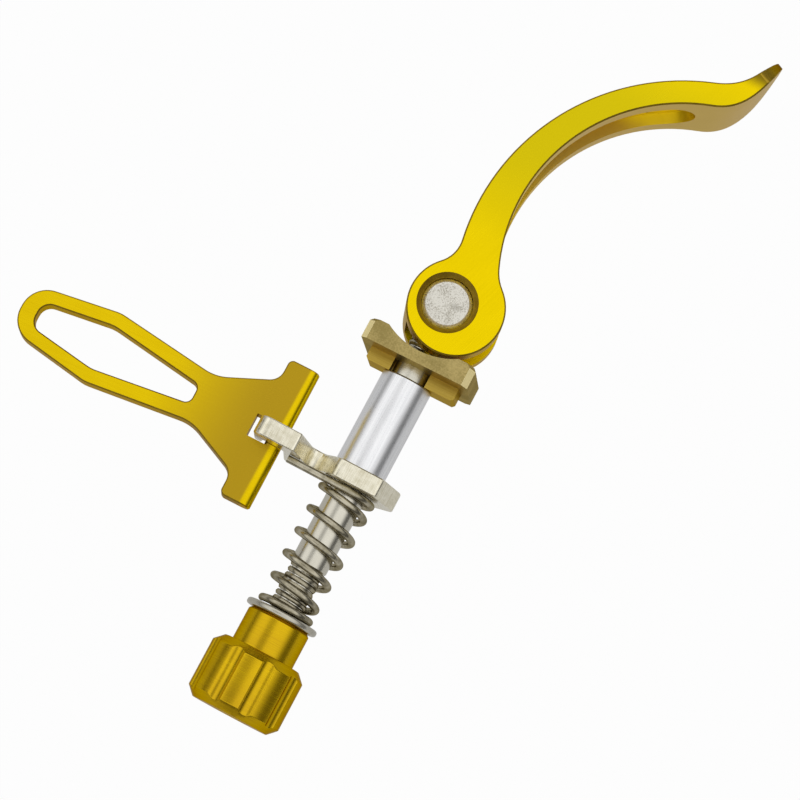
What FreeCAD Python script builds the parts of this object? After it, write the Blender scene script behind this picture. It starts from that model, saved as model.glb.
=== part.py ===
import FreeCAD, Part
import math
import os
from FreeCAD import Vector

# Quick release seatpost clamp, lying as it rests, in millimetres.
# The bolt runs along Y, the lever's pivot pin along Z, and the lever sweeps out to +X.
# The origin is the middle of the spacer sleeve, on the bolt's axis.

# Fits
running_clearance = 0.05
sliding_clearance = 0.1
thread_clearance = 0.05
seat_clearance = 0.05
hinge_clearance = 0.3

# Clamp bolt
shank_d = 6.0
thread_d = 5.7
thread_length = 23.0
bolt_end_inset = 2.5
bolt_end_chamfer = 0.6
spigot_d = 5.0

# Spacer sleeve
sleeve_d = 8.4
sleeve_length = 16.2
sleeve_chamfer = 0.25

# Saddle block
saddle_half_width = 9.25
saddle_offset = 0.4
saddle_depth = 14.2
saddle_skew = -6.5
saddle_corner_chamfer = 1.0
saddle_shoulder_chamfer = 0.5
saddle_web = 1.85
groove_depth = 1.65
groove_ease = 2.75
cam_seat_clearance = 0.569
tongue_length = 15.4
tongue_depth = 5.2
tongue_height = 2.2
tongue_chamfer = 0.4

# Cam lever
lever_width = 16.0
cam_radius = 7.75
cam_eccentricity = 1.5
fork_slot_width = 9.0
lever_opening_angle = 12.0
outer_bend_radius = 36.8
outer_bend_left_x = -3.25
outer_bend_y = 16.6
outer_bend_end_heading = 20.5
inner_bend_radius = 29.2
inner_bend_left_x = 2.4
inner_bend_y = 19.8
inner_bend_end_heading = 19.0
outer_neck_fillet = 5.0
inner_neck_fillet = 7.0
tip_x = 28.4
tip_y = 60.2
tip_heading = 65.0
tip_thickness = 1.0
tip_inner_heading = 82.0
tip_end_overhang = 0.6
curl_outer_pull = 5.0
curl_inner_pull = 4.0
tip_inner_pull = 8.0
channel_web = 2.0
channel_end_heading = 31.0
lever_edge_chamfer = 0.25

# Pivot pin
pin_d = 8.0
pin_recess = 0.7
pin_chamfer = 0.6
pin_countersink_d = 9.7
pin_countersink_depth = 0.8

# Hook plate
plate_thickness = 3.1
plate_half_height = 7.0
plate_front_left_x = -3.2
plate_front_right_x = 4.2
plate_right_x = 7.4
plate_right_flat = 2.0
neck_level = 1.0
neck_right_x = -6.0
neck_left_x = -7.9
hook_top_z = 10.0
hook_top_right_x = -9.9
hook_chamfer = 0.5
finger_thickness = 1.35
finger_top_radius = 2.0
finger_reach = 0.7
plate_corner_radius = 0.8
plate_edge_chamfer = 0.2
neck_radius = 1.2

# Loop plate
loop_thickness = 3.0
bar_right_x = -12.2
bar_length = 23.8
bar_width = 2.7
bar_back_radius = 0.9
loop_level = 3.4
loop_roll = -3.0
loop_yaw = 0.7
loop_shift = -0.15
slot_length = 3.0
slot_side_clearance = 0.35
head_width = 5.2
head_corner_radius = 0.9
head_fillet = 2.4
flare_half_width = 8.15
neck_distance = 14.2
neck_half_width = 4.05
neck_fillet = 7.0
kink_distance = 31.8
kink_half_width = 6.15
kink_radius = 6.0
loop_length = 46.0
end_half_width = 3.95
end_radius = 4.3
loop_end_band = 2.8
loop_side_band = 2.4
opening_start = 15.8
opening_start_half_width = 1.6
opening_start_radius = 1.2
opening_end_half_width = 2.1
opening_end_radius = 2.0
loop_edge_chamfer = 0.2

# Coil spring
spring_length = 21.9
spring_d = 9.5
wire_d = 1.2
top_closed_turns = 0.7
active_turns = 5.05
bottom_closed_turns = 0.7
top_closed_pitch = 0.8
bottom_closed_pitch = 0.3
leg_length = 10.6

# Flat washer
washer_d = 12.0
washer_bore_d = 6.4
washer_thickness = 1.0
washer_edge_radius = 0.4

# Thumb nut
nut_shoulder_d = 10.4
nut_shoulder_length = 5.9
nut_head_d = 15.6
nut_head_length = 10.7
nut_shoulder_chamfer = 0.5
nut_head_chamfer = 1.4
flute_count = 9
flute_turn = -4.0
flute_width = 2.5
flute_depth = 0.5
nut_mouth_chamfer = 0.4

# Stations along the bolt
sleeve_top_y = sleeve_length / 2
sleeve_bottom_y = -sleeve_length / 2
tongue_top_y = sleeve_top_y + tongue_height
groove_bottom_y = tongue_top_y + saddle_web
shoulder_y = groove_bottom_y + groove_depth
groove_radius = cam_radius + cam_eccentricity + groove_ease
cam_room = groove_radius - cam_radius - cam_seat_clearance
pivot_y = groove_bottom_y + groove_radius - math.sqrt(cam_room ** 2 - cam_eccentricity ** 2)
plate_bottom_y = sleeve_bottom_y - plate_thickness
plate_middle_y = sleeve_bottom_y - plate_thickness / 2
spring_bottom_y = plate_bottom_y - spring_length
washer_bottom_y = spring_bottom_y - washer_thickness
nut_neck_y = washer_bottom_y - nut_shoulder_length
nut_end_y = nut_neck_y - nut_head_length
bolt_end_y = nut_end_y + bolt_end_inset
thread_top_y = bolt_end_y + thread_length
slide_bore_d = shank_d + 2 * sliding_clearance

# Hinge bar in the hook's mouth
bar_axis_x = bar_right_x - loop_thickness / 2
bar_left_x = bar_right_x - bar_width
bar_back_reach = bar_width - loop_thickness / 2 - bar_back_radius
bar_swing_radius = math.hypot(bar_back_reach, loop_thickness / 2 - bar_back_radius) + bar_back_radius
mouth_radius = max(bar_swing_radius, loop_thickness / 2) + hinge_clearance

along_y = Vector(0, 1, 0)
along_z = Vector(0, 0, 1)
joining_tolerance = 1e-5


def rod(diameter, start_y, end_y):
    """Cylinder on the bolt's axis."""
    return Part.makeCylinder(diameter / 2, end_y - start_y, Vector(0, start_y, 0), along_y)


def turned(profile):
    """Solid turned about the bolt's axis from (radius, y) points."""
    points = [Vector(radius, y, 0) for radius, y in profile]
    face = Part.Face(Part.makePolygon(points + points[:1]))
    return face.revolve(Vector(0, 0, 0), along_y, 360)


def heading(angle):
    """Unit vector in the XY plane, angle in degrees from +X."""
    return Vector(math.cos(math.radians(angle)), math.sin(math.radians(angle)), 0)


def rounded_outline(corners, place):
    """Closed wire through (a, b, radius) corners; place turns (a, b) into a point."""
    edges = []
    ends = []
    count = len(corners)
    for index, (a, b, radius) in enumerate(corners):
        corner = place(a, b)
        before = place(*corners[index - 1][:2]) - corner
        after = place(*corners[(index + 1) % count][:2]) - corner
        if radius == 0:
            ends.append((corner, corner))
            continue
        before.normalize()
        after.normalize()
        half_angle = before.getAngle(after) / 2
        run = radius / math.tan(half_angle)
        inward = before + after
        inward.normalize()
        start = corner + before * run
        end = corner + after * run
        middle = corner + inward * (radius / math.sin(half_angle) - radius)
        edges.append(Part.Arc(start, middle, end).toShape())
        ends.append((start, end))
    for index, (_, end) in enumerate(ends):
        start = ends[(index + 1) % count][0]
        if (start - end).Length > joining_tolerance:
            edges.append(Part.makeLine(end, start))
    return Part.Wire(Part.__sortEdges__(edges))


def circle_meeting(centre_a, radius_a, centre_b, radius_b, side):
    """Point at the two given distances from two centres; side picks the left (1) or right (-1) one."""
    across = centre_b - centre_a
    distance = across.Length
    along = (distance ** 2 + radius_a ** 2 - radius_b ** 2) / (2 * distance)
    offset = math.sqrt(radius_a ** 2 - along ** 2)
    across.normalize()
    left = Vector(-across.y, across.x, 0)
    return centre_a + across * along + left * (offset * side)


def arc_between(centre, start, end, bulge):
    """Arc round centre from start to end, through the side that the bulge direction points to."""
    radius = (start - centre).Length
    towards = bulge / bulge.Length
    return Part.Arc(start, centre + towards * radius, end).toShape()


def bent_edge(start, start_heading, start_pull, end, end_heading, end_pull):
    """Smooth curve between two points that leaves and arrives along the given headings."""
    curve = Part.BezierCurve()
    leave = start + heading(start_heading) * start_pull
    arrive = end - heading(end_heading) * end_pull
    curve.setPoles([start, leave, arrive, end])
    return curve.toShape()


def edges_at_height(shape, levels):
    """Edges that lie wholly in one of the given Z levels."""
    found = []
    for edge in shape.Edges:
        box = edge.BoundBox
        for level in levels:
            if max(abs(box.ZMin - level), abs(box.ZMax - level)) < joining_tolerance:
                found.append(edge)
    return found


def clamp_bolt():
    """Shank with a thread for the nut at one end and a spigot in the pivot pin at the other."""
    tip_radius = thread_d / 2 - bolt_end_chamfer
    spigot_end_y = pivot_y + math.sqrt(pin_d ** 2 - spigot_d ** 2) / 2 - seat_clearance
    shoulder_seat_y = pivot_y - pin_d / 2 - seat_clearance
    return turned([
        (0, bolt_end_y),
        (tip_radius, bolt_end_y),
        (thread_d / 2, bolt_end_y + bolt_end_chamfer),
        (thread_d / 2, thread_top_y),
        (shank_d / 2, thread_top_y + (shank_d - thread_d) / 2),
        (shank_d / 2, shoulder_seat_y),
        (spigot_d / 2, shoulder_seat_y),
        (spigot_d / 2, spigot_end_y),
        (0, spigot_end_y),
    ])


def pivot_pin():
    """Barrel across the fork, cross-drilled for the bolt's spigot."""
    half_length = lever_width / 2 - pin_recess
    barrel = Part.makeCylinder(pin_d / 2, 2 * half_length, Vector(0, pivot_y, -half_length), along_z)
    barrel = barrel.makeChamfer(pin_chamfer, edges_at_height(barrel, (-half_length, half_length)))
    return barrel.cut(rod(spigot_d + 2 * thread_clearance, pivot_y - pin_d, pivot_y + pin_d))


def spacer_sleeve():
    """Tube over the shank, with broken edges."""
    inner = slide_bore_d / 2
    outer = sleeve_d / 2
    return turned([
        (inner, sleeve_bottom_y),
        (outer - sleeve_chamfer, sleeve_bottom_y),
        (outer, sleeve_bottom_y + sleeve_chamfer),
        (outer, sleeve_top_y - sleeve_chamfer),
        (outer - sleeve_chamfer, sleeve_top_y),
        (inner, sleeve_top_y),
    ])


def saddle_block():
    """Cam follower: block with a round seat on top and a slotted tongue below, slightly skewed."""
    half_depth = saddle_depth / 2
    side = saddle_half_width
    cut = saddle_corner_chamfer
    plan = [
        (side - cut, half_depth),
        (side, half_depth - cut),
        (side, cut - half_depth),
        (side - cut, -half_depth),
    ]
    plan += [(-x, z) for x, z in reversed(plan)]
    points = [Vector(saddle_offset + x, tongue_top_y, z) for x, z in plan]
    block = Part.Face(Part.makePolygon(points + points[:1])).extrude(along_y * (shoulder_y - tongue_top_y))
    shoulder_edges = []
    for edge in block.Edges:
        box = edge.BoundBox
        if box.YMin > shoulder_y - cut and box.XLength < side:
            shoulder_edges.append(edge)
    block = block.makeChamfer(saddle_shoulder_chamfer, shoulder_edges)
    groove_centre = Vector(saddle_offset, groove_bottom_y + groove_radius, -saddle_depth)
    block = block.cut(Part.makeCylinder(groove_radius, 2 * saddle_depth, groove_centre, along_z))
    tongue = Part.makeBox(tongue_length, tongue_height, tongue_depth,
                          Vector(saddle_offset - tongue_length / 2, sleeve_top_y, -tongue_depth / 2))
    lower_ends = []
    for edge in tongue.Edges:
        if edge.BoundBox.YMax < tongue_top_y and edge.BoundBox.XLength < tongue_depth / 2:
            lower_ends.append(edge)
    tongue = tongue.makeChamfer(tongue_chamfer, lower_ends)
    slot = Part.makeBox(slide_bore_d, tongue_height, tongue_depth,
                        Vector(-slide_bore_d / 2, sleeve_top_y, -tongue_depth / 2))
    bore = rod(slide_bore_d, sleeve_top_y, shoulder_y)
    saddle = block.fuse(tongue.cut(slot)).cut(bore).removeSplitter()
    saddle.rotate(Vector(0, 0, 0), along_y, saddle_skew)
    return saddle


def lever_outline():
    """Side view of the lever about its pivot: round cam, two long bends and the thumb curl."""
    cam_centre = Vector(cam_eccentricity, 0, 0)
    outer_centre = Vector(outer_bend_left_x + outer_bend_radius, outer_bend_y, 0)
    inner_centre = Vector(inner_bend_left_x + inner_bend_radius, inner_bend_y, 0)
    outer_neck = circle_meeting(cam_centre, cam_radius + outer_neck_fillet,
                                outer_centre, outer_bend_radius + outer_neck_fillet, 1)
    inner_neck = circle_meeting(cam_centre, cam_radius + inner_neck_fillet,
                                inner_centre, inner_bend_radius - inner_neck_fillet, 1)
    cam_left = cam_centre + (outer_neck - cam_centre) * (cam_radius / (cam_radius + outer_neck_fillet))
    cam_right = cam_centre + (inner_neck - cam_centre) * (cam_radius / (cam_radius + inner_neck_fillet))
    outer_start = outer_centre + (outer_neck - outer_centre) * (
        outer_bend_radius / (outer_bend_radius + outer_neck_fillet))
    inner_start = inner_centre + (inner_neck - inner_centre) * (
        inner_bend_radius / (inner_bend_radius - inner_neck_fillet))
    outer_end = outer_centre + heading(outer_bend_end_heading + 90) * outer_bend_radius
    inner_end = inner_centre + heading(inner_bend_end_heading + 90) * inner_bend_radius
    tip_outer = Vector(tip_x, tip_y, 0)
    tip_across = heading(tip_heading - 90)
    tip_inner = tip_outer + tip_across * tip_thickness
    tip_top = (tip_outer + tip_inner) / 2 + heading(tip_heading) * (tip_thickness / 2)
    edges = [
        arc_between(cam_centre, cam_left, cam_right, Vector(0, -1, 0)),
        arc_between(outer_neck, cam_left, outer_start, (cam_left + outer_start) / 2 - outer_neck),
        arc_between(outer_centre, outer_start, outer_end, (outer_start + outer_end) / 2 - outer_centre),
        bent_edge(outer_end, outer_bend_end_heading, curl_outer_pull,
                  tip_outer, tip_heading, curl_outer_pull),
        Part.Arc(tip_outer, tip_top, tip_inner).toShape(),
        bent_edge(inner_end, inner_bend_end_heading, curl_inner_pull,
                  tip_inner, tip_inner_heading, tip_inner_pull),
        arc_between(inner_centre, inner_end, inner_start, (inner_start + inner_end) / 2 - inner_centre),
        arc_between(inner_neck, inner_start, cam_right, (cam_right + inner_start) / 2 - inner_neck),
    ]
    return Part.Wire(Part.__sortEdges__(edges))


def tip_end_cutter():
    """What is cut from the end of the thumb tip to bow it across the lever's width."""
    along = heading(tip_heading)
    across = heading(tip_heading - 90)
    end = Vector(tip_x, tip_y, 0) + along * (tip_thickness / 2)
    tip_end_radius = lever_width / 2 + tip_end_overhang
    centre = end - along * tip_end_radius
    chord = math.sqrt(tip_end_radius ** 2 - (lever_width / 2) ** 2)
    start = centre + along * chord - across * tip_end_radius
    low = start - along_z * lever_width
    high = start + along_z * lever_width
    square = [low, low + along * tip_end_radius, high + along * tip_end_radius, high]
    block = Part.Face(Part.makePolygon(square + square[:1])).extrude(across * (2 * tip_end_radius))
    bow = Part.makeCylinder(tip_end_radius, 2 * tip_end_radius, centre - across * tip_end_radius, across)
    return block.cut(bow)


def fork_cutter():
    """Slot between the cheeks: room for the shank over the whole swing, and the channel up the arm."""
    half_slot = fork_slot_width / 2
    far = 3 * cam_radius
    base = Vector(0, 0, -half_slot)
    rise = along_z * fork_slot_width
    half_room = shank_d / 2 + hinge_clearance
    open_way = heading(-90 - lever_opening_angle)
    open_side = heading(180 - lever_opening_angle) * half_room
    swing = [open_side, open_side + open_way * far, Vector(far, -far, 0), Vector(far, half_room, 0),
             Vector(0, half_room, 0)]
    swing = [point + base for point in swing]
    room = Part.Face(Part.makePolygon(swing + swing[:1])).extrude(rise)
    room = room.fuse(Part.makeCylinder(half_room, fork_slot_width, base, along_z))
    bend_centre = Vector(outer_bend_left_x + outer_bend_radius, outer_bend_y, 0)
    floor_radius = outer_bend_radius - channel_web
    end_ray = heading(channel_end_heading + 90)
    start_ray = heading(180)
    low = bend_centre - Vector(0, outer_bend_y, 0)
    sector = [bend_centre, bend_centre + end_ray * floor_radius,
              bend_centre + (end_ray + start_ray) * (2 * floor_radius),
              low + start_ray * (2 * floor_radius), low]
    sector = [point + base for point in sector]
    wedge = Part.Face(Part.makePolygon(sector + sector[:1])).extrude(rise)
    channel = Part.makeCylinder(floor_radius, fork_slot_width, bend_centre + base, along_z).common(wedge)
    end_length = outer_bend_radius - inner_bend_radius + 2 * channel_web
    round_end = Part.makeCylinder(half_slot, end_length, bend_centre + end_ray * floor_radius, end_ray * -1)
    return [room, channel, round_end]


def cam_lever():
    """Lever cut from one bar: cheeks joined by the outer web and the tip, countersunk pin hole."""
    half_width = lever_width / 2
    outline = lever_outline()
    outline.translate(along_z * -half_width)
    body = Part.Face(outline).extrude(along_z * lever_width)
    body = body.makeChamfer(lever_edge_chamfer, edges_at_height(body, (-half_width, half_width)))
    for cutter in [tip_end_cutter()] + fork_cutter():
        body = body.cut(cutter)
    hole_radius = pin_d / 2 + running_clearance
    body = body.cut(Part.makeCylinder(hole_radius, 2 * lever_width, Vector(0, 0, -lever_width), along_z))
    for side in (-1, 1):
        countersink = Part.makeCone(pin_countersink_d / 2, hole_radius, pin_countersink_depth,
                                    Vector(0, 0, side * half_width), along_z * -side)
        body = body.cut(countersink)
    body.translate(along_y * pivot_y)
    return body.removeSplitter()


def hook_plate():
    """Flat plate across the bolt: six-sided body, neck, riser and a finger that hooks over the bar."""
    mouth_right_x = bar_axis_x + mouth_radius
    mouth_left_x = bar_axis_x - mouth_radius
    finger_left_x = mouth_left_x - finger_thickness
    finger_tip_z = loop_level - loop_thickness / 2 - finger_reach
    soft = plate_corner_radius
    corners = [
        (plate_front_left_x, plate_half_height, neck_radius),
        (plate_front_right_x, plate_half_height, soft),
        (plate_right_x, plate_right_flat / 2, soft),
        (plate_right_x, -plate_right_flat / 2, soft),
        (plate_front_right_x, -plate_half_height, soft),
        (mouth_right_x, -plate_half_height, 2 * soft),
        (mouth_right_x, loop_level + mouth_radius, mouth_radius),
        (mouth_left_x, loop_level + mouth_radius, mouth_radius),
        (mouth_left_x, finger_tip_z, finger_thickness / 4),
        (finger_left_x, finger_tip_z, finger_thickness / 2),
        (finger_left_x, hook_top_z, finger_top_radius),
        (hook_top_right_x, hook_top_z, hook_chamfer),
        (neck_left_x, neck_level, neck_radius),
        (neck_right_x, neck_level, neck_radius),
    ]
    wire = rounded_outline(corners, lambda x, z: Vector(x, plate_bottom_y, z))
    plate = Part.Face(wire).extrude(along_y * plate_thickness)
    rims = [edge for edge in plate.Edges if edge.BoundBox.YLength < joining_tolerance]
    plate = plate.makeChamfer(plate_edge_chamfer, rims)
    return plate.cut(rod(slide_bore_d, plate_bottom_y, sleeve_bottom_y))


def loop_plate():
    """Catch plate: round hinge bar, slot, waist and long loop, lying slightly askew in the loose hook."""
    half_bar = bar_length / 2
    head_left_x = bar_right_x - head_width
    neck_x = bar_right_x - neck_distance
    kink_x = bar_right_x - kink_distance
    end_x = bar_right_x - loop_length
    bottom_z = loop_level - loop_thickness / 2

    def place(x, y):
        return Vector(x, plate_middle_y + y, bottom_z)

    upper = [
        (bar_axis_x, half_bar, 0),
        (head_left_x, half_bar, head_corner_radius),
        (head_left_x, flare_half_width, head_fillet),
        (neck_x, neck_half_width, neck_fillet),
        (kink_x, kink_half_width, kink_radius),
        (end_x, end_half_width, end_radius),
    ]
    lower = [(x, -y, radius) for x, y, radius in reversed(upper)]
    plate = Part.Face(rounded_outline(upper + lower, place)).extrude(along_z * loop_thickness)
    inner = [
        (bar_right_x - opening_start, opening_start_half_width, opening_start_radius),
        (kink_x, kink_half_width - loop_side_band, kink_radius),
        (end_x + loop_end_band, opening_end_half_width, opening_end_radius),
    ]
    inner += [(x, -y, radius) for x, y, radius in reversed(inner)]
    plate = plate.cut(Part.Face(rounded_outline(inner, place)).extrude(along_z * loop_thickness))
    broken_edges = []
    for edge in edges_at_height(plate, (bottom_z, bottom_z + loop_thickness)):
        if edge.BoundBox.XMin < bar_axis_x - joining_tolerance:
            broken_edges.append(edge)
    plate = plate.makeChamfer(loop_edge_chamfer, broken_edges)
    bar_start = Vector(bar_axis_x, plate_middle_y - half_bar, loop_level)
    bar = Part.makeCylinder(loop_thickness / 2, bar_length, bar_start, along_y)
    bar_ends = [edge for edge in bar.Edges if edge.BoundBox.YLength < joining_tolerance]
    plate = plate.fuse(bar.makeChamfer(loop_edge_chamfer, bar_ends)).removeSplitter()
    slot_half_width = plate_thickness / 2 + slot_side_clearance
    slot = Part.makeBox(slot_length, 2 * slot_half_width, loop_thickness,
                        place(bar_left_x - slot_length, -slot_half_width))
    plate = plate.cut(slot)
    back_edges = []
    for edge in edges_at_height(plate, (bottom_z, bottom_z + loop_thickness)):
        box = edge.BoundBox
        if abs(box.XMin - bar_left_x) < joining_tolerance and abs(box.XMax - bar_left_x) < joining_tolerance:
            back_edges.append(edge)
    plate = plate.makeFillet(bar_back_radius, back_edges)
    bar_middle = Vector(bar_axis_x, plate_middle_y, loop_level)
    plate.rotate(bar_middle, Vector(1, 0, 0), loop_roll)
    plate.rotate(bar_middle, along_z, loop_yaw)
    plate.translate(along_y * loop_shift)
    return plate


def coil_spring():
    """Left-hand wire spring with closed end coils and a straight leg under the hook plate."""
    mean_radius = (spring_d - wire_d) / 2
    start_y = plate_bottom_y - seat_clearance - wire_d / 2
    end_y = spring_bottom_y + seat_clearance + wire_d / 2
    top_drop = top_closed_turns * top_closed_pitch
    bottom_drop = bottom_closed_turns * bottom_closed_pitch
    active_drop = start_y - end_y - top_drop - bottom_drop
    stretches = [
        (top_closed_turns, top_drop),
        (active_turns, active_drop),
        (bottom_closed_turns, bottom_drop),
    ]
    down_the_bolt = FreeCAD.Rotation(along_z, Vector(-1, 0, 0), along_y * -1, "XYZ")
    leg_end = Vector(-leg_length, start_y, mean_radius)
    edges = [Part.makeLine(leg_end, Vector(0, start_y, mean_radius))]
    turned_by = 0
    y = start_y
    for turns, drop in stretches:
        helix = Part.makeHelix(drop / turns, drop, mean_radius, 0, True)
        helix.rotate(Vector(0, 0, 0), along_z, -360 * turned_by)
        helix.Placement = FreeCAD.Placement(Vector(0, y, 0), down_the_bolt).multiply(helix.Placement)
        edges += helix.Edges
        turned_by += turns
        y -= drop
    path = Part.Wire(edges)
    section = Part.Wire(Part.makeCircle(wire_d / 2, leg_end, Vector(1, 0, 0)))
    return path.makePipeShell([section], True, True)


def flat_washer():
    """Plain washer between the spring and the nut."""
    inner = washer_bore_d / 2
    outer = washer_d / 2
    ring = turned([
        (inner, washer_bottom_y),
        (outer, washer_bottom_y),
        (outer, spring_bottom_y),
        (inner, spring_bottom_y),
    ])
    rim = [edge for edge in ring.Edges if abs(edge.BoundBox.XMax - outer) < washer_edge_radius
           and edge.BoundBox.YLength < washer_edge_radius]
    return ring.makeFillet(washer_edge_radius, rim)


def thumb_nut():
    """Nut with a plain shoulder and a fluted head, threaded right through."""
    bore = thread_d / 2 + thread_clearance
    shoulder = nut_shoulder_d / 2
    head = nut_head_d / 2
    body = turned([
        (bore, washer_bottom_y),
        (shoulder - nut_shoulder_chamfer, washer_bottom_y),
        (shoulder, washer_bottom_y - nut_shoulder_chamfer),
        (shoulder, nut_neck_y),
        (head - nut_head_chamfer, nut_neck_y),
        (head, nut_neck_y - nut_head_chamfer),
        (head, nut_end_y + nut_head_chamfer),
        (head - nut_head_chamfer, nut_end_y),
        (bore + nut_mouth_chamfer, nut_end_y),
        (bore, nut_end_y + nut_mouth_chamfer),
    ])
    half_flute = flute_width / 2
    flute_radius = (half_flute ** 2 + flute_depth ** 2) / (2 * flute_depth)
    flute_centre = head - flute_depth + flute_radius
    for index in range(flute_count):
        angle = math.radians(360 / flute_count * (index + 0.5) + flute_turn)
        place = Vector(flute_centre * math.sin(angle), nut_end_y, flute_centre * math.cos(angle))
        body = body.cut(Part.makeCylinder(flute_radius, nut_head_length, place, along_y))
    return body


pieces = {
    "clamp_bolt": clamp_bolt,
    "pivot_pin": pivot_pin,
    "spacer_sleeve": spacer_sleeve,
    "saddle_block": saddle_block,
    "cam_lever": cam_lever,
    "hook_plate": hook_plate,
    "loop_plate": loop_plate,
    "coil_spring": coil_spring,
    "flat_washer": flat_washer,
    "thumb_nut": thumb_nut,
}

os.makedirs("parts", exist_ok=True)
for name, make in pieces.items():
    shape = make()
    shape.exportStep(os.path.join("parts", name + ".step"))
    print(name, "valid", shape.isValid(), "solids", len(shape.Solids), "volume", round(shape.Volume, 1))
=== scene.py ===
"""Quick release seatpost clamp: gold lever, loop and nut, brass saddle, sprung steel bolt."""
import math

import bpy
from mathutils import Matrix, Vector


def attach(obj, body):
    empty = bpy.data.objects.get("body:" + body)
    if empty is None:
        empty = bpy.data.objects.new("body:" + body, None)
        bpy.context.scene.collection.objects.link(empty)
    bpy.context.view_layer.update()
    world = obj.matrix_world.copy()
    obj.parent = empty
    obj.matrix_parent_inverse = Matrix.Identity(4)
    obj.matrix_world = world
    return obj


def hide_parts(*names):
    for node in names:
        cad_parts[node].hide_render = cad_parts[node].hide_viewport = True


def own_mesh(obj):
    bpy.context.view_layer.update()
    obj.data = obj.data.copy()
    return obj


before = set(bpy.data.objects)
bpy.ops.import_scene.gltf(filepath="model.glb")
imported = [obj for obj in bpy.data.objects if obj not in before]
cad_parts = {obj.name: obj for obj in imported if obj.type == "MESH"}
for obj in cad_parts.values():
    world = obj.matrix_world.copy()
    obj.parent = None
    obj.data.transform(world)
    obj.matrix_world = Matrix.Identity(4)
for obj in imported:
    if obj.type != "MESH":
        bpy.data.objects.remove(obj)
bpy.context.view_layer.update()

# Lengths are in millimetres, and MM makes them metres
MM = 0.001

# Camera, as the photograph was taken: almost straight down on the clamp
camera_eye = Vector((18.0, -58.2, 418.0)) * MM
camera_aim = Vector((0.29, 5.04, 0.0)) * MM
camera_roll = math.radians(331.85)
camera_lens = 121.5
camera_sensor = 36.0
camera_near = 10.0

# Floor, and the shares of it that shine when it is seen and when it is mirrored
floor_z = -60.0
floor_size = 6000.0
floor_glow = 0.97
floor_mirrored = 0.32
white = (1.0, 1.0, 1.0, 1.0)
paper_grey = (0.5, 0.5, 0.5, 1.0)

# Tent of light, by the way that leads to it: its heights and strengths, and the camera's dark place
tent_heights = (0.22, 0.66)
tent_strengths = (0.14, 1.06)
tent_lean = 0.13
horizon = (0.02, -0.02)
spot_east = -0.276
spot_half_sizes = (0.23, 0.13)
spot_rim = (1.5, 0.6)
spot_heights = (0.5, 0.6)
spot_dark = 0.72

# Stations along the bolt, as in the part's source
pivot_y = 20.788
upper_thread_y = 12.6
thread_top_y = -25.2
bolt_end_y = -48.2
nut_end_y = -50.7

# Rod of the bolt, without its ridges
bolt_radius = 3.0
bolt_tip_radius = 1.9
bolt_chamfer = 0.5
bolt_past_pivot = 3.0
bolt_sides = 72
runout_below = 0.3
runout_above = 0.45
shank_edge_length = 0.1
shank_edge_drop = 0.03

# Threads: the ridge's section is a diamond with its corners cut, sunk a little into the root
thread_pitch = 1.0
thread_crest_radius = 2.84
thread_root_radius = 2.4
nut_crest_radius = 2.7
nut_root_radius = 2.98
thread_inset = 0.4
thread_sink = 0.02
thread_corner_cut = 0.15
thread_half_width = 0.46
thread_steps = 40
upper_turns = 4
nut_turns = 2

# Spring: its turns are counted from start_y, over the bolt, and its wire is cut after
# spring_cut_turns
spring_start_y = -9.66
spring_pitch = 3.927
spring_cut_turns = 1.5

# Meshes: the gap that is welded, the angles at flats and sharp edges, and the broken edges
weld_gap = 0.0005
flat_angle = 0.3
sharp_angle = 30.0
wire_sharp_angle = 60.0
broken_edge_segments = 2
broken_edge_profile = 0.6
flat_weight = 60

# Where the faces with a finish of their own lie, and where the dye inside the arm thins out
lever_side_z = 7.9
lever_edge_z = 7.0
bend_centre = Vector((33.55, 37.39, 0.0))
hollow_way = Vector((0.6, -0.8, 0.0))
hollow_radius = 33.8
hollow_start_y = 30.0
curl_start_x = 22.0
channel_side_z = 4.6
channel_radius = 35.5
channel_start_y = 25.0
channel_end_x = 23.0
bare_start_y = 40.0
bare_full_y = 58.0
tip_end_y = 73.0
tip_end_way = Vector((0.42, 0.91, 0.0))
loop_bar_x = -14.0
saddle_corner_y = 10.3
saddle_tongue_y = 10.28

# Which way those faces point, as shares of their normals
side_facing = 0.95
hollow_facing = 0.2
hollow_lean = 0.3
tip_end_facing = 0.3
tip_end_lean = 0.05
corner_lean = 0.2
lever_slant = (0.45, 0.92)
plate_slant = (0.4, 0.94)

# Sockets of a Mix node that blends colours
mix_factor, mix_first, mix_second, mix_result = 0, 6, 7, 2


# Shading

class Signal:
    """A shader socket that adds Math nodes when it is used in arithmetic."""

    def __init__(self, shading, socket):
        self.shading = shading
        self.socket = socket

    def math(self, operation, first, second):
        return self.shading.node("ShaderNodeMath", {"operation": operation}, {0: first, 1: second})

    def __add__(self, other):
        return self.math("ADD", self, other)

    def __sub__(self, other):
        return self.math("SUBTRACT", self, other)

    def __rsub__(self, other):
        return self.math("SUBTRACT", other, self)

    def __mul__(self, other):
        return self.math("MULTIPLY", self, other)

    __radd__ = __add__
    __rmul__ = __mul__


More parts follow.
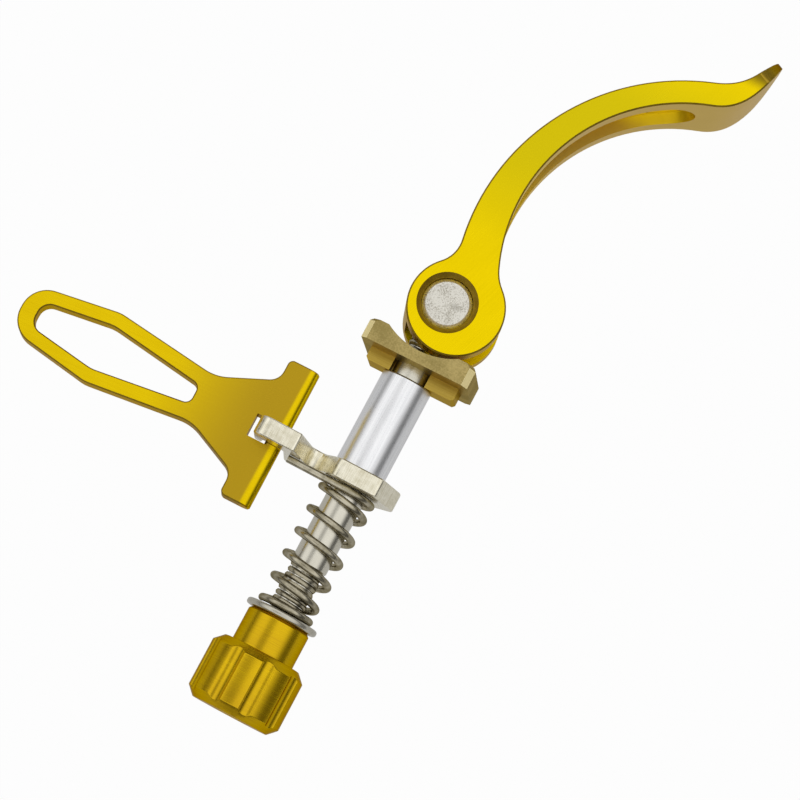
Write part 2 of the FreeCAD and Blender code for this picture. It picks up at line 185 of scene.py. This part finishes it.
class Shading:
    """A node tree; node() adds one node, sets it up and gives one of its outputs."""

    def __init__(self, tree):
        self.tree = tree

    def node(self, kind, settings=None, inputs=None, output=0):
        node = self.tree.nodes.new(kind)
        for name, value in (settings or {}).items():
            setattr(node, name, value)
        for name, value in (inputs or {}).items():
            self.feed(node.inputs[name], value)
        return Signal(self, node.outputs[output])

    def feed(self, socket, value):
        if isinstance(value, Signal):
            self.tree.links.new(value.socket, socket)
        else:
            socket.default_value = value

    def between(self, value, low, high, bottom=0.0, top=1.0):
        """Value eased from bottom to top as it goes from low to high."""
        return self.node("ShaderNodeMapRange", {"interpolation_type": "SMOOTHSTEP"}, {
            "Value": value, "From Min": low, "From Max": high, "To Min": bottom, "To Max": top})

    def blend(self, factor, first, second):
        """Colour between first and second."""
        return self.node("ShaderNodeMix", {"data_type": "RGBA"},
                         {mix_factor: factor, mix_first: first, mix_second: second}, mix_result)

    def along(self, vector, axis):
        """One coordinate of a vector."""
        return self.node("ShaderNodeSeparateXYZ", inputs={"Vector": vector}, output=axis)

    def ray(self, kind):
        """Whether the ray that looks is of this kind."""
        return self.node("ShaderNodeLightPath", output="Is " + kind + " Ray")


class Finish(Shading):
    """A metal finish on the Principled shader."""

    def __init__(self, name, rim=white):
        self.material = bpy.data.materials.new(name)
        self.material.use_nodes = True
        super().__init__(self.material.node_tree)
        self.shader = self.tree.nodes["Principled BSDF"]
        self.shader.inputs["Metallic"].default_value = 1.0
        self.shader.inputs["Specular Tint"].default_value = rim

    def place(self, grain=(1.0, 1.0, 1.0), turn=0.0, centre=(0.0, 0.0, 0.0)):
        """Place on the piece, turned about Z, in grains of the given size in millimetres."""
        spot = self.node("ShaderNodeTexCoord", output="Object")
        return self.node("ShaderNodeMapping", {"vector_type": "TEXTURE"}, {
            "Vector": spot,
            "Location": [c * MM for c in centre],
            "Rotation": (0.0, 0.0, math.radians(turn)),
            "Scale": [g * MM for g in grain],
        })

    def noise(self, vector, detail=2.0, rough=0.5):
        return self.node("ShaderNodeTexNoise", inputs={
            "Vector": vector, "Scale": 1.0, "Detail": detail, "Roughness": rough}, output="Fac")

    def grains(self, size, detail=2.0, rough=0.5):
        """Noise in even grains of the given size in millimetres."""
        return self.noise(self.place((size, size, size)), detail, rough)

    def bump(self, height, strength, depth):
        """Surface relief of the given depth in millimetres."""
        normal = self.node("ShaderNodeBump", inputs={
            "Height": height, "Strength": strength, "Distance": depth * MM}, output="Normal")
        self.feed(self.shader.inputs["Normal"], normal)

    def colour(self, value):
        self.feed(self.shader.inputs["Base Color"], value)

    def roughness(self, value):
        self.feed(self.shader.inputs["Roughness"], value)


def rgb(red, green, blue):
    """Linear colour from the 0 to 255 values that a screen shows."""
    linear = []
    for value in (red, green, blue):
        share = value / 255
        linear.append(share / 12.92 if share <= 0.04045 else ((share + 0.055) / 1.055) ** 2.4)
    return (*linear, 1.0)


def gold_anodise(name, dye, grain, turn, rough, fades=()):
    """Dyed anodised aluminium with fine tool lines; each fade blends in another colour along one
    axis, some of them painted light.
    """
    finish = Finish(name, rgb(206, 184, 140))
    lines = finish.noise(finish.place(grain, turn), detail=3.0, rough=0.6)
    cloud = finish.grains(9.0)
    speck = finish.grains(0.12, detail=1.0)
    tone = finish.between(lines * 0.55 + cloud * 0.45, 0.3, 0.72)
    deep, bright = dye
    colour = finish.blend(tone, deep, bright)
    for axis, (start, full, full_end, end), faded in fades:
        along = finish.along(finish.place(), axis)
        share = finish.between(along, start, full) * finish.between(along, end, full_end)
        colour = finish.blend(share, colour, faded)
    finish.colour(colour)
    finish.roughness(rough + lines * 0.07 + cloud * 0.05)
    finish.bump(lines * 0.7 + speck * 0.3, strength=0.07, depth=0.01)
    return finish.material


def painted_shade_edge():
    """Broken edges of the gold pieces, with painted shade: a darker gold that stands in for the
    dark they mirror.
    """
    finish = Finish("painted_shade_edge", rgb(170, 142, 84))
    cloud = finish.grains(1.2)
    finish.colour(finish.blend(cloud, rgb(156, 127, 40), rgb(190, 158, 54)))
    finish.roughness(0.3 + cloud * 0.1)
    return finish.material


def milled_gold():
    """Inner faces of the lever's arm, left rough by the cutter, the more so towards the tip."""
    finish = Finish("milled_gold", rgb(255, 240, 222))
    lines = finish.noise(finish.place((6.0, 6.0, 0.14)))
    cloud = finish.grains(5.0)
    towards_tip = finish.between(finish.along(finish.place(), "Y"), bare_start_y, bare_full_y)
    bare = finish.blend(lines * 0.5 + cloud * 0.5, rgb(208, 180, 80), rgb(222, 196, 104))
    finish.colour(finish.blend(towards_tip, rgb(238, 208, 8), bare))
    finish.roughness(0.3 + lines * 0.12)
    finish.bump(lines, strength=0.2, depth=0.015)
    return finish.material


def tumbled_brass():
    """Matte brass with the small dents of tumbling."""
    finish = Finish("tumbled_brass", rgb(214, 200, 160))
    dents = finish.grains(0.3, detail=3.0, rough=0.65)
    stain = finish.grains(4.0, detail=3.0)
    tone = finish.between(dents * 0.5 + stain * 0.5, 0.35, 0.65)
    finish.colour(finish.blend(tone, rgb(154, 137, 82), rgb(190, 170, 110)))
    finish.roughness(0.3 + dents * 0.16)
    finish.bump(dents, strength=0.3, depth=0.03)
    return finish.material


def drawn_tube():
    """Bright zinc on a drawn tube: faint lengthwise streaks and fine specks."""
    finish = Finish("drawn_tube")
    streaks = finish.noise(finish.place((0.22, 9.0, 0.22)), detail=3.0)
    specks = finish.grains(0.16)
    tone = finish.between(streaks * 0.6 + specks * 0.4, 0.3, 0.7)
    finish.colour(finish.blend(tone, rgb(226, 227, 229), rgb(248, 248, 249)))
    finish.roughness(0.23 + specks * 0.14)
    finish.bump(streaks * 0.5 + specks * 0.5, strength=0.2, depth=0.012)
    return finish.material


def blasted_pin():
    """Pale blasted end of the pin, with dark pits and a rubbed spot."""
    finish = Finish("blasted_pin")
    pits = finish.grains(0.26, detail=4.0, rough=0.7)
    clusters = finish.grains(1.8)
    pit = finish.between(pits * 0.7 + clusters * 0.3, 0.46, 0.62)
    spot_size = (1.2, 0.8, 20.0)
    spot_centre = (1.4, pivot_y, 0.0)
    spot = finish.place(spot_size, centre=spot_centre)
    darkened = finish.node("ShaderNodeTexGradient", {"gradient_type": "SPHERICAL"},
                         {"Vector": spot}, "Fac")
    clean = finish.blend(darkened * 0.7, rgb(226, 223, 213), rgb(150, 147, 138))
    finish.colour(finish.blend(pit, clean, rgb(176, 171, 158)))
    finish.roughness(0.4 + pits * 0.15)
    finish.bump(1.0 - pit, strength=0.35, depth=0.03)
    return finish.material


def bright_bolt():
    """Turned and polished shank steel."""
    finish = Finish("bright_bolt")
    rings = finish.noise(finish.place((3.0, 0.12, 3.0)))
    cloud = finish.noise(finish.place((2.0, 6.0, 2.0)))
    finish.colour(finish.blend(cloud, rgb(194, 190, 176), rgb(224, 220, 206)))
    finish.roughness(0.18 + rings * 0.1)
    finish.bump(rings, strength=0.12, depth=0.01)
    return finish.material


def cut_thread_painted_shade():
    """Cut thread with painted shade: darker than the shank, for the shade in its grooves."""
    finish = Finish("cut_thread_painted_shade", rgb(190, 182, 160))
    cloud = finish.grains(0.8)
    finish.colour(finish.blend(cloud, rgb(150, 143, 122), rgb(192, 185, 164)))
    finish.roughness(0.2 + cloud * 0.1)
    return finish.material


def painted_highlight_brass():
    """Cut edges of the saddle, with a painted highlight: a pale, bright brass that stands in for
    the light they catch.
    """
    finish = Finish("painted_highlight_brass", rgb(226, 206, 150))
    lines = finish.noise(finish.place((0.1, 5.0, 0.1)))
    finish.colour(finish.blend(lines, rgb(250, 236, 176), rgb(255, 246, 206)))
    finish.roughness(0.72 + lines * 0.1)
    return finish.material


def cut_brass():
    """Tongue under the saddle, freshly cut and more golden."""
    finish = Finish("cut_brass", rgb(226, 206, 150))
    lines = finish.noise(finish.place((5.0, 0.12, 5.0)))
    finish.colour(finish.blend(lines, rgb(172, 142, 52), rgb(208, 180, 88)))
    finish.roughness(0.3 + lines * 0.1)
    return finish.material


def nickel_plate():
    """Warm nickel on a stamped plate, with tool lines across its edge and faint dents."""
    finish = Finish("nickel_plate")
    lines = finish.noise(finish.place((0.16, 6.0, 0.16)), detail=3.0, rough=0.6)
    dents = finish.grains(0.9)
    tone = finish.between(lines * 0.6 + dents * 0.4, 0.3, 0.7)
    finish.colour(finish.blend(tone, rgb(213, 206, 180), rgb(250, 245, 226)))
    finish.roughness(0.2 + dents * 0.14)
    finish.bump(lines * 0.6 + dents * 0.4, strength=0.22, depth=0.02)
    return finish.material


def spring_wire():
    """Drawn spring wire, grey with a trace of oil."""
    finish = Finish("spring_wire", rgb(196, 190, 172))
    stain = finish.between(finish.grains(1.4, detail=3.0), 0.3, 0.7)
    specks = finish.grains(0.12)
    finish.colour(finish.blend(stain, rgb(146, 139, 118), rgb(190, 183, 162)))
    finish.roughness(0.17 + specks * 0.12)
    finish.bump(specks, strength=0.2, depth=0.01)
    return finish.material


def zinc_washer():
    """Zinc plate on a stamped washer."""
    finish = Finish("zinc_washer")
    cloud = finish.grains(1.6, detail=3.0)
    specks = finish.grains(0.14)
    finish.colour(finish.blend(cloud, rgb(172, 168, 154), rgb(208, 204, 190)))
    finish.roughness(0.22 + specks * 0.14)
    finish.bump(specks, strength=0.2, depth=0.012)
    return finish.material


# Modelling

def deselect_all():
    bpy.ops.object.select_all(action="DESELECT")


def take(piece):
    """Makes a piece the only selected and the active one."""
    deselect_all()
    piece.select_set(True)
    bpy.context.view_layer.objects.active = piece


def start_editing(selection=None):
    """Opens the active piece's mesh, with all or nothing of it selected, or as it was."""
    bpy.ops.object.mode_set(mode="EDIT")
    if selection:
        bpy.ops.mesh.select_all(action=selection)


def stop_editing():
    bpy.ops.object.mode_set(mode="OBJECT")


def weld():
    """Joins the selected points that lie on each other."""
    bpy.ops.mesh.remove_doubles(threshold=weld_gap * MM)


def add_modifier(piece, kind, settings):
    """Adds a modifier with its settings and applies it."""
    take(piece)
    modifier = piece.modifiers.new(kind.lower(), kind)
    for name, value in settings.items():
        setattr(modifier, name, value)
    bpy.ops.object.modifier_apply(modifier=modifier.name)


def settle(piece):
    """Puts a piece's place into its mesh."""
    take(piece)
    bpy.ops.object.transform_apply(location=True, rotation=True, scale=True)


def soften(piece, angle):
    """Smooths faces that meet at less than the angle, with flats kept flat."""
    take(piece)
    bpy.ops.object.shade_smooth_by_angle(angle=math.radians(angle))
    add_modifier(piece, "WEIGHTED_NORMAL", {"keep_sharp": True, "weight": flat_weight})


def smoothed_copy(node, material, sharp, break_width=0.0):
    """Copy of a CAD node with its facets joined and its sharp edges broken."""
    deselect_all()
    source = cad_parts[node]
    piece = source.copy()
    piece.data = source.data.copy()
    piece.name = "dressed_" + node
    piece.parent = None
    for key in list(piece.keys()):
        del piece[key]
    bpy.context.scene.collection.objects.link(piece)
    take(piece)
    start_editing("SELECT")
    bpy.ops.mesh.customdata_custom_splitnormals_clear()
    weld()
    bpy.ops.mesh.dissolve_limited(angle_limit=math.radians(flat_angle), delimit={"NORMAL"})
    stop_editing()
    if break_width:
        add_modifier(piece, "BEVEL", {
            "width": break_width * MM, "segments": broken_edge_segments, "limit_method": "ANGLE",
            "angle_limit": math.radians(sharp), "use_clamp_overlap": True,
            "profile": broken_edge_profile})
    soften(piece, sharp)
    piece.data.materials.clear()
    piece.data.materials.append(material)
    return piece


def stand_in(piece, node, body):
    """Makes a piece stand for a CAD node, on a body, with the node hidden."""
    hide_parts(node)
    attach(piece, body)


def dressed(node, body, material, break_width=0.0):
    """Smoothed copy of a CAD node that stands for it."""
    piece = smoothed_copy(node, material, sharp_angle, break_width)
    stand_in(piece, node, body)
    return piece


def upper_coils(middle):
    """Whether a place on the spring's wire is above the cut, which is under the bolt."""
    around = math.atan2(middle.x, middle.z) / math.tau % 1.0
    along = (spring_start_y - middle.y) / spring_pitch
    return around + round(along - around) < spring_cut_turns


def even_cut(mesh, chosen):
    """Moves each face to the side of the cut where most of its neighbours are: no tooth is left."""
    beside = {}
    for face in mesh.polygons:
        for edge in face.edge_keys:
            beside.setdefault(edge, []).append(face.index)
    moved = True
    while moved:
        moved = False
        for face in mesh.polygons:
            own = face.index
            others = [other for edge in face.edge_keys for other in beside[edge] if other != own]
            apart = sum(chosen[other] != chosen[own] for other in others)
            if 2 * apart > len(others):
                chosen[own] = not chosen[own]
                moved = True


def sprung_pair(material):
    """Spring in two lengths that meet under the bolt.

    The lower length goes with the washer, and the upper one with the bolt.
    """
    lower = smoothed_copy("coil_spring", material, wire_sharp_angle)
    lower.name = "spring_lower_coils"
    take(lower)
    start_editing()
    bpy.ops.mesh.select_mode(type="FACE")
    bpy.ops.mesh.select_all(action="DESELECT")
    stop_editing()
    chosen = [upper_coils(face.center / MM) for face in lower.data.polygons]
    even_cut(lower.data, chosen)
    for face in lower.data.polygons:
        face.select = chosen[face.index]
    start_editing()
    bpy.ops.mesh.separate(type="SELECTED")
    bpy.ops.mesh.select_mode(type="VERT")
    stop_editing()
    upper = [piece for piece in bpy.context.selected_objects if piece != lower][0]
    upper.name = "spring_upper_coils"
    for piece in (lower, upper):
        take(piece)
        start_editing("DESELECT")
        bpy.ops.mesh.select_non_manifold()
        bpy.ops.mesh.edge_face_add()
        stop_editing()
    stand_in(lower, "coil_spring", "washer")
    stand_in(upper, "coil_spring", "bolt")
    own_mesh(lower)
    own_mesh(upper)


def drawn_rod(name, stations, sides):
    """Round rod along Y through (radius, y) stations in millimetres, pulled out ring by ring."""
    deselect_all()
    radius, y = stations[0]
    bpy.ops.mesh.primitive_circle_add(vertices=sides, radius=radius * MM, fill_type="NGON",
                                      location=(0, y * MM, 0), rotation=(math.radians(90), 0, 0))
    rod = bpy.context.object
    rod.name = name
    settle(rod)
    start_editing("SELECT")
    for next_radius, next_y in stations[1:]:
        step = (0, (next_y - y) * MM, 0)
        bpy.ops.mesh.extrude_region_move(TRANSFORM_OT_translate={"value": step})
        scale = next_radius / radius
        bpy.ops.transform.resize(value=(scale, 1, scale), center_override=(0, next_y * MM, 0))
        radius, y = next_radius, next_y
    bpy.ops.mesh.select_all(action="SELECT")
    bpy.ops.mesh.normals_make_consistent(inside=False)
    stop_editing()
    return rod


def thread_ridge(name, crest_radius, root_radius, start_y, turns):
    """Right-hand V ridge wound round the bolt's axis, from a four-cornered section."""
    deselect_all()
    middle = (crest_radius + root_radius) / 2
    reach = abs(crest_radius - root_radius) / 2
    bpy.ops.mesh.primitive_circle_add(vertices=4, radius=reach * MM, fill_type="NGON",
                                      location=(middle * MM, start_y * MM, 0))
    ridge = bpy.context.object
    ridge.name = name
    start_editing("SELECT")
    bpy.ops.mesh.bevel(offset=thread_corner_cut * reach * MM, affect="VERTICES", segments=1)
    bpy.ops.mesh.delete(type="ONLY_FACE")
    stop_editing()
    ridge.scale = (1.0, thread_half_width * thread_pitch / reach, 1.0)
    settle(ridge)
    add_modifier(ridge, "SCREW", {
        "axis": "Y", "angle": math.tau, "screw_offset": -thread_pitch * MM, "iterations": turns,
        "steps": thread_steps, "render_steps": thread_steps, "use_normal_calculate": True})
    start_editing("SELECT")
    weld()
    bpy.ops.mesh.select_all(action="DESELECT")
    bpy.ops.mesh.select_non_manifold()
    bpy.ops.mesh.fill()
    bpy.ops.mesh.select_all(action="SELECT")
    bpy.ops.mesh.normals_make_consistent(inside=False)
    stop_editing()
    return ridge


def join(main, *others):
    """Joins pieces into the first one."""
    take(main)
    for other in others:
        other.select_set(True)
    bpy.ops.object.join()
    return main


def threaded_bolt(material, painted_shade_ridges):
    """Shank, thread roots, wound ridges and chamfered end, standing for the bolt's solid."""
    root = thread_root_radius
    edge_radius = bolt_radius - shank_edge_drop
    shank_end = runout_above + shank_edge_length
    rod = drawn_rod("threaded_bolt", [
        (bolt_tip_radius, bolt_end_y),
        (root, bolt_end_y + bolt_chamfer),
        (root, thread_top_y - runout_below),
        (edge_radius, thread_top_y + runout_above),
        (bolt_radius, thread_top_y + shank_end),
        (bolt_radius, upper_thread_y - shank_end),
        (edge_radius, upper_thread_y - runout_above),
        (root, upper_thread_y + runout_below),
        (root, pivot_y + bolt_past_pivot),
    ], bolt_sides)
    rod.data.materials.append(material)
    foot = root - thread_sink
    turns = round((thread_top_y - bolt_end_y) / thread_pitch)
    lower_start = bolt_end_y + thread_inset + turns * thread_pitch
    upper_start = upper_thread_y + upper_turns * thread_pitch
    lower = thread_ridge("lower_thread", thread_crest_radius, foot, lower_start, turns)
    upper = thread_ridge("upper_thread", thread_crest_radius, foot, upper_start, upper_turns)
    # The ridges take the darker thread colour, painted shade for their grooves
    for ridge in (lower, upper):
        ridge.data.materials.append(painted_shade_ridges)
    bolt = join(rod, lower, upper)
    soften(bolt, sharp_angle)
    stand_in(bolt, "clamp_bolt", "bolt")


def nut_thread(material):
    """Inner thread that shows in the nut's open end, half a pitch from the bolt's ridge."""
    start = nut_end_y + thread_inset + nut_turns * thread_pitch
    ridge = thread_ridge("nut_thread", nut_crest_radius, nut_root_radius, start, nut_turns)
    soften(ridge, sharp_angle)
    ridge.data.materials.append(material)
    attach(ridge, "nut")


# Faces with a finish of their own, picked by normal and by middle in millimetres

def second_finish(piece, material, chosen):
    """Gives the faces that chosen picks another finish."""
    piece.data.materials.append(material)
    place = len(piece.data.materials) - 1
    for face in piece.data.polygons:
        if chosen(face.normal, face.center / MM):
            face.material_index = place


def slanted(normal, limits):
    """Whether a face leans: the share of its normal that points up or down is within limits."""
    least, most = limits
    return least < abs(normal.z) < most


def lever_side(normal, middle):
    """Flat sides of the lever."""
    return abs(normal.z) > side_facing and abs(middle.z) > lever_side_z


def lever_inside(normal, middle):
    """Hollow side of the lever's arm, on both sides of its channel."""
    facing = normal.dot(hollow_way) > hollow_facing and abs(normal.z) < hollow_lean
    in_bend = (middle - bend_centre).xy.length < hollow_radius
    return facing and middle.y > hollow_start_y and (in_bend or middle.x > curl_start_x)


def lever_channel(normal, middle):
    """Floor, walls and round end of the channel in the lever's arm."""
    in_width = abs(middle.z) < channel_side_z
    in_length = middle.y > channel_start_y and middle.x < channel_end_x
    in_depth = (middle - bend_centre).xy.length < channel_radius
    return in_width and in_length and in_depth and not lever_inside(normal, middle)


def lever_edge(normal, middle):
    """Broken edges and countersinks at the lever's two flat sides, and the tip's end face: the
    faces where edge shade is painted.
    """
    broken = slanted(normal, lever_slant) and abs(middle.z) > lever_edge_z
    darkened = normal.dot(tip_end_way) > tip_end_facing and abs(normal.z) > tip_end_lean
    return broken or (darkened and middle.y > tip_end_y)


def plate_edge(normal, middle):
    """Broken edges of the loop plate; not its round bar."""
    return slanted(normal, plate_slant) and middle.x < loop_bar_x


def saddle_edge(normal, middle):
    """Upright corners of the saddle."""
    upright = abs(normal.y) < corner_lean
    return upright and slanted(normal, plate_slant) and middle.y > saddle_corner_y


def saddle_tongue(normal, middle):
    """Tongue under the saddle, with the walls of its slot."""
    return middle.y < saddle_tongue_y


# Stage and light

def white_floor():
    """Pale floor under the clamp that keeps its soft shadow."""
    deselect_all()
    bpy.ops.mesh.primitive_plane_add(size=floor_size * MM, location=(0, 0, floor_z * MM))
    floor = bpy.context.object
    floor.name = "floor"
    material = bpy.data.materials.new("white_floor")
    material.use_nodes = True
    shading = Shading(material.node_tree)
    seen = shading.ray("Camera") + shading.ray("Transmission")
    seen = seen + shading.ray("Glossy") * floor_mirrored
    paper = shading.node("ShaderNodeBsdfDiffuse", inputs={"Color": paper_grey})
    glow = shading.node("ShaderNodeEmission", inputs={"Color": white, "Strength": 1.0})
    sheet = shading.node("ShaderNodeMixShader", inputs={0: seen * floor_glow, 1: paper, 2: glow})
    shading.feed(material.node_tree.nodes["Material Output"].inputs["Surface"], sheet)
    floor.data.materials.append(material)


def studio_light():
    """Soft tent: bright overhead and to the left, dim at the horizon, dark where the camera is."""
    world = bpy.data.worlds.new("studio")
    bpy.context.scene.world = world
    world.use_nodes = True
    shading = Shading(world.node_tree)
    way = shading.node("ShaderNodeTexCoord", output="Generated")
    east, north, height = (shading.along(way, axis) for axis in "XYZ")
    tent = shading.between(height - east * tent_lean, *tent_heights, *tent_strengths)
    half_east, half_north = spot_half_sizes
    side = (east - spot_east) * (1 / half_east)
    front = north * (1 / half_north)
    spot = shading.between(side * side + front * front, *spot_rim, 0.0, spot_dark)
    spot = spot * shading.between(height, *spot_heights)
    below = shading.between(height, *horizon)
    backdrop = shading.ray("Camera") + shading.ray("Transmission") + shading.ray("Glossy") * below
    light = tent * (1.0 - spot)
    grey = shading.node("ShaderNodeCombineColor",
                        inputs={"Red": light, "Green": light, "Blue": light})
    glow = shading.blend(backdrop, grey, white)
    shading.feed(world.node_tree.nodes["Background"].inputs["Color"], glow)


def place_camera():
    """Camera of the photograph, rolled about its line of sight."""
    data = bpy.data.cameras.new("camera")
    camera = bpy.data.objects.new("camera", data)
    bpy.context.scene.collection.objects.link(camera)
    data.sensor_width = camera_sensor
    data.lens = camera_lens
    data.clip_start = camera_near * MM
    forward = (camera_aim - camera_eye).normalized()
    across = forward.cross(Vector((0, 1, 0))).normalized()
    down = forward.cross(across)
    right = across * math.cos(camera_roll) + down * math.sin(camera_roll)
    up = across * math.sin(camera_roll) - down * math.cos(camera_roll)
    turn = Matrix((right, up, -forward)).transposed()
    camera.matrix_world = Matrix.Translation(camera_eye) @ turn.to_4x4()
    bpy.context.scene.camera = camera


# Gold dyes, deep and bright, the size and turn of their tool lines, and their roughness
lever_dye = (rgb(232, 202, 3), rgb(244, 213, 6))
plate_dye = (rgb(220, 186, 8), rgb(232, 200, 12))
nut_dye = (rgb(200, 160, 28), rgb(222, 184, 22))
lever_lines = ((7.0, 0.16, 0.16), 73.0)
plate_lines = ((6.0, 0.14, 0.14), 4.0)
nut_lines = ((4.0, 0.09, 4.0), 0.0)
satin = 0.2
matt = 0.34

# Fades: the axis; where the fade starts, is full, stops being full and ends; the faded colour
past_tip = (98.0, 99.0)
arm_fade = ("Y", (26.0, 50.0, 60.0, 78.0), rgb(209, 189, 14))
tip_fade = ("Y", (73.4, 76.2, *past_tip), rgb(128, 106, 22))
# Painted light in the lever's shaded channel: a paler gold that lights its floor, and a bright
# yellow painted highlight on its round end
channel_painted_light = ("Y", (34.0, 54.0, *past_tip), rgb(217, 187, 85))
channel_end_painted_highlight = ("Y", (61.5, 65.5, *past_tip), rgb(252, 232, 70))
loop_fade = ("X", (-36.0, -17.0, -14.1, -13.6), rgb(177, 145, 30))

lever_gold = gold_anodise("lever_gold", lever_dye, *lever_lines, satin, [arm_fade])
side_gold = gold_anodise("side_gold", lever_dye, *lever_lines, satin, [arm_fade, tip_fade])
plate_gold = gold_anodise("plate_gold", plate_dye, *plate_lines, satin, [loop_fade])
nut_gold = gold_anodise("nut_gold", nut_dye, *nut_lines, satin)
channel_gold_painted_light = gold_anodise("channel_gold_painted_light", lever_dye, *lever_lines, matt,
                            [channel_painted_light, channel_end_painted_highlight])
# Painted shade on the broken edges: a darker gold where their chamfers mirror dark
edge_painted_shade = painted_shade_edge()

lever = dressed("cam_lever", "lever", lever_gold)
second_finish(lever, side_gold, lever_side)
# The channel gets painted light: paler gold on its shaded floor, a painted highlight at its round
# end
second_finish(lever, channel_gold_painted_light, lever_channel)
second_finish(lever, milled_gold(), lever_inside)
# Painted shade on the lever's broken edges, countersinks and tip end
second_finish(lever, edge_painted_shade, lever_edge)
loop = dressed("loop_plate", "loop", plate_gold)
# Painted shade on the loop plate's broken edges
second_finish(loop, edge_painted_shade, plate_edge)
dressed("thumb_nut", "nut", nut_gold, break_width=0.15)
nut_thread(nut_gold)
saddle = dressed("saddle_block", "follower", tumbled_brass(), break_width=0.12)
# Painted highlight on the saddle's upright corners
second_finish(saddle, painted_highlight_brass(), saddle_edge)
second_finish(saddle, cut_brass(), saddle_tongue)
dressed("spacer_sleeve", "follower", drawn_tube())
dressed("pivot_pin", "bolt", blasted_pin(), break_width=0.08)
dressed("hook_plate", "hook", nickel_plate(), break_width=0.06)
sprung_pair(spring_wire())
dressed("flat_washer", "washer", zinc_washer())
# The thread ridges get painted shade: darker than the shank
threaded_bolt(bright_bolt(), cut_thread_painted_shade())

white_floor()
studio_light()
place_camera()
bpy.context.scene.view_settings.view_transform = "Standard"
